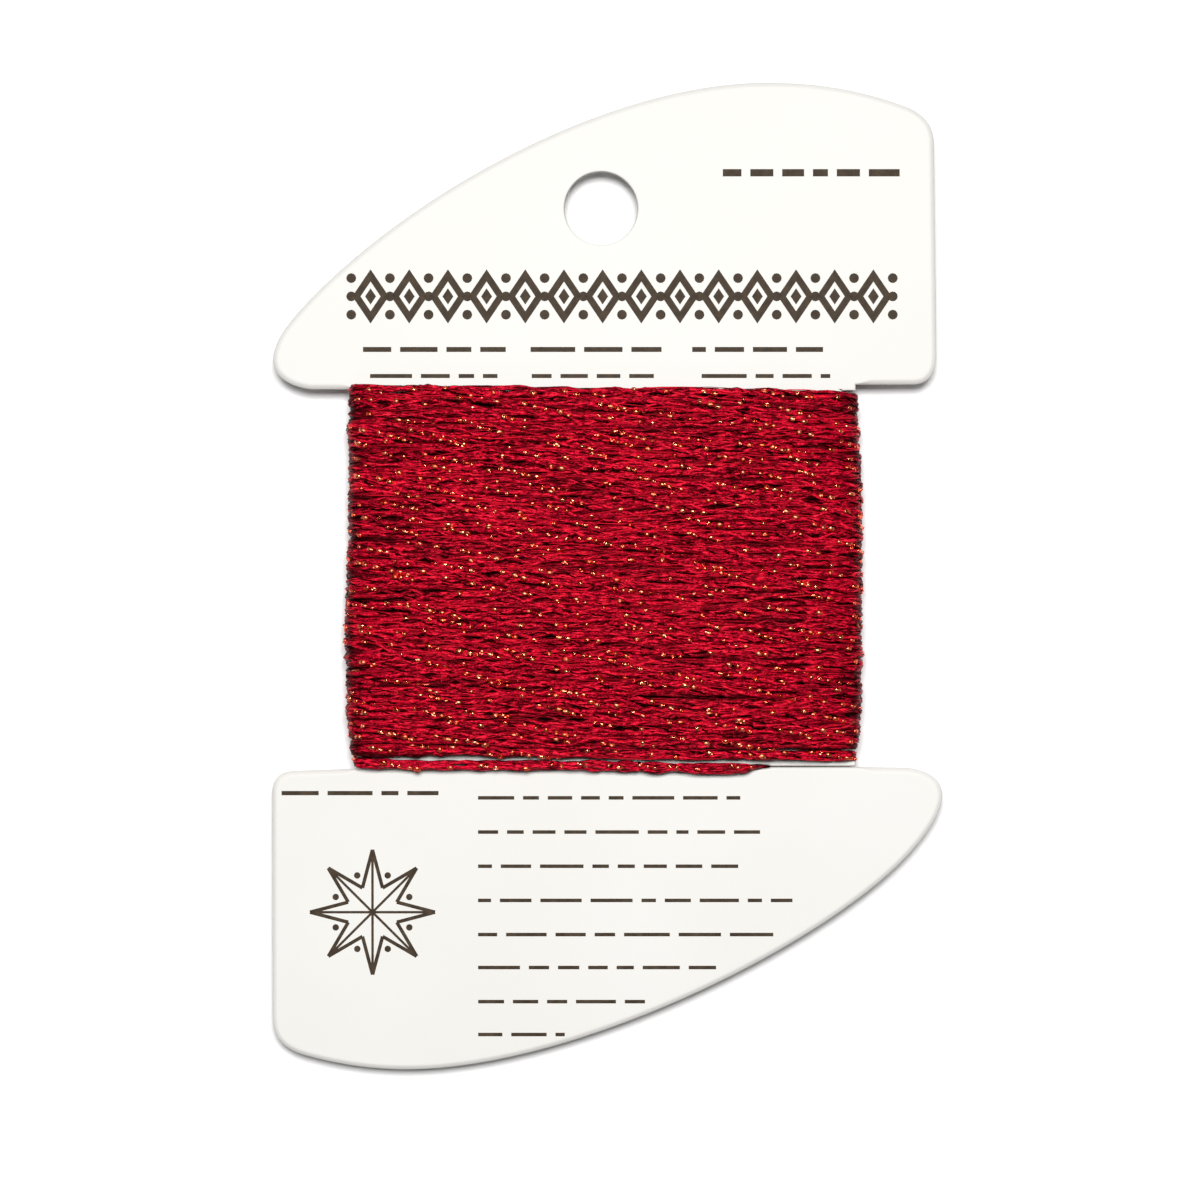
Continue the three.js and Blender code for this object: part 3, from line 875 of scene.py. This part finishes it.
def makePrint(material):
    chance = np.random.RandomState(ink["seed"])
    band, stitch, star = ink["band"], ink["stitch"], ink["star"]
    turn = np.arange(ink["dotSides"]) * fullTurn / ink["dotSides"]
    dot = np.stack([np.cos(turn), np.sin(turn)], -1)
    quads, dots = [], []

    xs = np.linspace(*band["x"], 2 * band["count"] + 1)
    middles = np.column_stack([xs[1::2], np.full(band["count"], band["y"])])
    between = np.column_stack([xs[0::2], np.full(band["count"] + 1, band["y"])])
    tips = np.array([(1, 0), (0, 1), (-1, 0), (0, -1)]) * [band["wide"] / 2, band["high"] / 2]
    inner = tips * (1 - 2 * band["line"] / band["wide"])
    for i in range(4):
        side = np.array([inner[i], tips[i], tips[(i + 1) % 4], inner[(i + 1) % 4]])
        quads.append(middles[:, None] + side)
    quads.append(middles[:, None] + tips * band["heart"])
    for up in band["dotRows"]:
        dots.append(between[:, None] + [0, up] + band["dot"] * dot)

    for left, right, y, thickness in ink["rules"]:
        lengths = chance.uniform(*stitch["long"], stitch["most"])
        starts = left + np.cumsum(lengths + stitch["gap"]) - lengths - stitch["gap"]
        ends = np.minimum(starts + lengths, right)
        kept = ends - starts > stitch["shortest"]
        level = np.full(kept.sum(), y)
        pairs = (np.column_stack([places[kept], level]) for places in (starts, ends))
        quads.append(bars(*pairs, thickness))

    angle = np.arange(2 * star["points"]) * math.pi / star["points"]
    reach = np.where(np.arange(len(angle)) % 2 == 0, star["radius"], star["radius"] * star["inner"])
    corners = np.array(star["middle"]) + np.stack([reach * np.cos(angle), reach * np.sin(angle)], -1)
    quads.append(bars(corners, np.roll(corners, -1, 0), star["line"]))
    quads.append(bars(np.tile(star["middle"], (star["points"], 1)), corners[0::2], star["ray"]))
    notches = corners[1::2]
    dots.append((notches + star["dotOut"] * unit(notches - star["middle"]))[:, None] + star["dot"] * dot)

    points, faces = [], []
    for shapes in (*quads, *dots):
        made, groups = plates(shapes, sum(map(len, points)))
        points.append(made)
        faces += groups
    newPiece("cardPrint", np.concatenate(points), faces, material, flat=True)


# Materials

def silkMaterial():
    look = {"Specular IOR Level": 0.45, "Specular Tint": (1, 0.06, 0.08, 1)}
    material, start, sockets = newMaterial("crimsonSilk", look)
    fibre = start.attribute("fibre")
    streak = fibre.stretched((1.5, 5.5, 5.5)).noise(1.0, 1.0, 0.5)
    hair = fibre.stretched((6.0, 11, 11)).noise(1.0, 1.0, 0.5)
    patch = fibre.stretched((0.25, 1.2, 1.2)).noise(1.0, 2.0, 0.5)
    height = start.attribute("height", "Fac")
    grainAndPaintedSheen = streak * 0.5 + hair * 0.35 + patch * 0.15
    tone = grainAndPaintedSheen.step(0.44, 0.56)
    # Painted shade: where the height attribute is low, at the yarns' sides, the pack's edges, the lower
    # layer and the sleeve, the silk is coloured near black
    paintedShadeMask = height.step(-0.28, 0.22)
    silk = tone.mix((0.032, 0.0, 0.001), (0.62, 0.0008, 0.027))
    # Painted highlight: the brightest fibre streaks take a paler, oranger red as sheen
    silk = grainAndPaintedSheen.step(0.53, 0.62).mix(silk, (0.85, 0.02, 0.042))
    plug(paintedShadeMask.mix((0.012, 0.0001, 0.001), silk), sockets["Base Color"])
    plug(0.6 - 0.28 * tone, sockets["Roughness"])
    bumpOf(streak * 0.6 + hair * 0.4, 0.8, 0.1, sockets["Normal"])
    return material


def strayMaterial():
    look = {"Specular IOR Level": 0.35, "Specular Tint": (1, 0.06, 0.08, 1)}
    material, start, sockets = newMaterial("looseSilk", look)
    tone = start.attribute("tone", "Fac")
    plug(tone.mix((0.08, 0.0002, 0.004), (0.75, 0.008, 0.028)), sockets["Base Color"])
    plug(0.5 - 0.15 * tone, sockets["Roughness"])
    return material


def filmMaterial():
    material, start, sockets = newMaterial("metalFilm", {"Metallic": 1.0})
    tone = start.attribute("tone", "Fac")
    bright = tone.step(0.4, 1.0).mix((1.0, 0.105, 0.045), (1.0, 0.23, 0.12))
    # Painted shade: strips of tone under 0.4 are coloured near black
    plug(tone.step(0.4, 0.5).mix((0.02, 0.001, 0.001), bright), sockets["Base Color"])
    plug(0.32 * start.objectPlace().noise(3000, 1.0).step(0.35, 0.65) + 0.1, sockets["Roughness"])
    return material


def boardMaterial():
    look = {"Coat Weight": 0.05, "Coat Roughness": 0.5, "Specular IOR Level": 0.12}
    material, start, sockets = newMaterial("coatedBoard", look)
    place = start.objectPlace()
    nearCutEdge = start.attribute("nearCutEdge", "Fac")
    cloud = place.noise(60, 3.0)
    fibres = place.stretched((1, 1, 4)).noise(2600, 3.0)
    white = cloud.step(0.3, 0.7).mix((0.702, 0.687, 0.655), (0.718, 0.705, 0.675))
    # Greyer and rougher towards the cut edge, in patches of fibre noise
    plug((nearCutEdge * fibres * 0.4).mix(white, (0.5, 0.475, 0.46)), sockets["Base Color"])
    plug(0.38 + 0.12 * cloud + 0.25 * nearCutEdge, sockets["Roughness"])
    bumpOf(fibres * 0.6 + cloud * 0.4, 0.12, 0.02, sockets["Normal"])
    return material


def inkMaterial():
    material, start, sockets = newMaterial("brownInk", {"Specular IOR Level": 0.1})
    grain = start.objectPlace().noise(1500, 3.0)
    plug(grain.step(0.25, 0.8).mix((0.033, 0.0205, 0.011), (0.069, 0.048, 0.029)), sockets["Base Color"])
    plug(0.45 + 0.2 * grain, sockets["Roughness"])
    return material


def floorMaterial():
    material, start, sockets = newMaterial("paleFloor", {"Specular IOR Level": 0.0, "Roughness": 1.0})
    grain = start.objectPlace().noise(40, 2.0)
    plug(grain.mix((0.875, 0.872, 0.87), (0.895, 0.892, 0.89)), sockets["Base Color"])
    return material


# Floor and light

studio = {
    "floor": 1.5,  # metres across
    "lights": {  # place in metres, what it points at, size, power
        "key": ((0.0, 0.116, 0.5), (0.0, -0.35, 0.0), (0.2, 0.18), 3.85),
        "left": ((-0.75, 0.0, 0.5), (0.0, 0.0, 0.0), (0.6, 0.8), 0.4),
        "right": ((0.75, 0.0, 0.5), (0.0, 0.0, 0.0), (0.6, 0.8), 0.4),
        "near": ((0.0, -0.8, 0.55), (0.0, 0.0, 0.0), (0.9, 0.4), 0.4),
    },
    "air": 0.05,
}


def makeStudio():
    half = studio["floor"] / 2
    corners = [(-half, -half, 0), (half, -half, 0), (half, half, 0), (-half, half, 0)]
    mesh = bpy.data.meshes.new("floor")
    mesh.from_pydata(corners, [], [(0, 1, 2, 3)])
    mesh.materials.append(floorMaterial())
    floor = bpy.data.objects.new("floor", mesh)
    bpy.context.scene.collection.objects.link(floor)
    for name, (place, target, size, power) in studio["lights"].items():
        data = bpy.data.lights.new(name, "AREA")
        data.shape = "RECTANGLE"
        data.size, data.size_y = size
        data.energy = power
        light = bpy.data.objects.new(name, data)
        light.location = place
        away = unit(np.array(place) - target)
        light.rotation_euler = (math.acos(away[2]), 0, math.atan2(away[1], away[0]) + math.pi / 2)
        bpy.context.scene.collection.objects.link(light)
    world = bpy.data.worlds.new("air")
    world.use_nodes = True
    sky = world.node_tree.nodes["Background"].inputs
    sky["Color"].default_value = (1, 1, 1, 1)
    sky["Strength"].default_value = studio["air"]
    bpy.context.scene.world = world


# The whole thing

silk, metal, loose = silkMaterial(), filmMaterial(), strayMaterial()
makeBraidEnd(silk, metal)
print("braid's end laid")
makeCard(boardMaterial())
makePrint(inkMaterial())
print("card cut and printed")
outer = outerThread()
makeTurns("windingTurns", outer, silk)
makeTurns("windingUnder", underThread(), silk)
makeSleeve(silk)
print("braid wound")
for name, look, material in (
    ("windingFilm", film, metal), ("windingShadeStrips", shadeStrips, metal), ("windingStrays", strays, loose),
):
    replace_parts(makeStrips(name, outer, 1.0, outer["length"][-1], look, material), "winding")
print("metal film and stray silk laid in")
makeStudio()

bpy.context.view_layer.update()
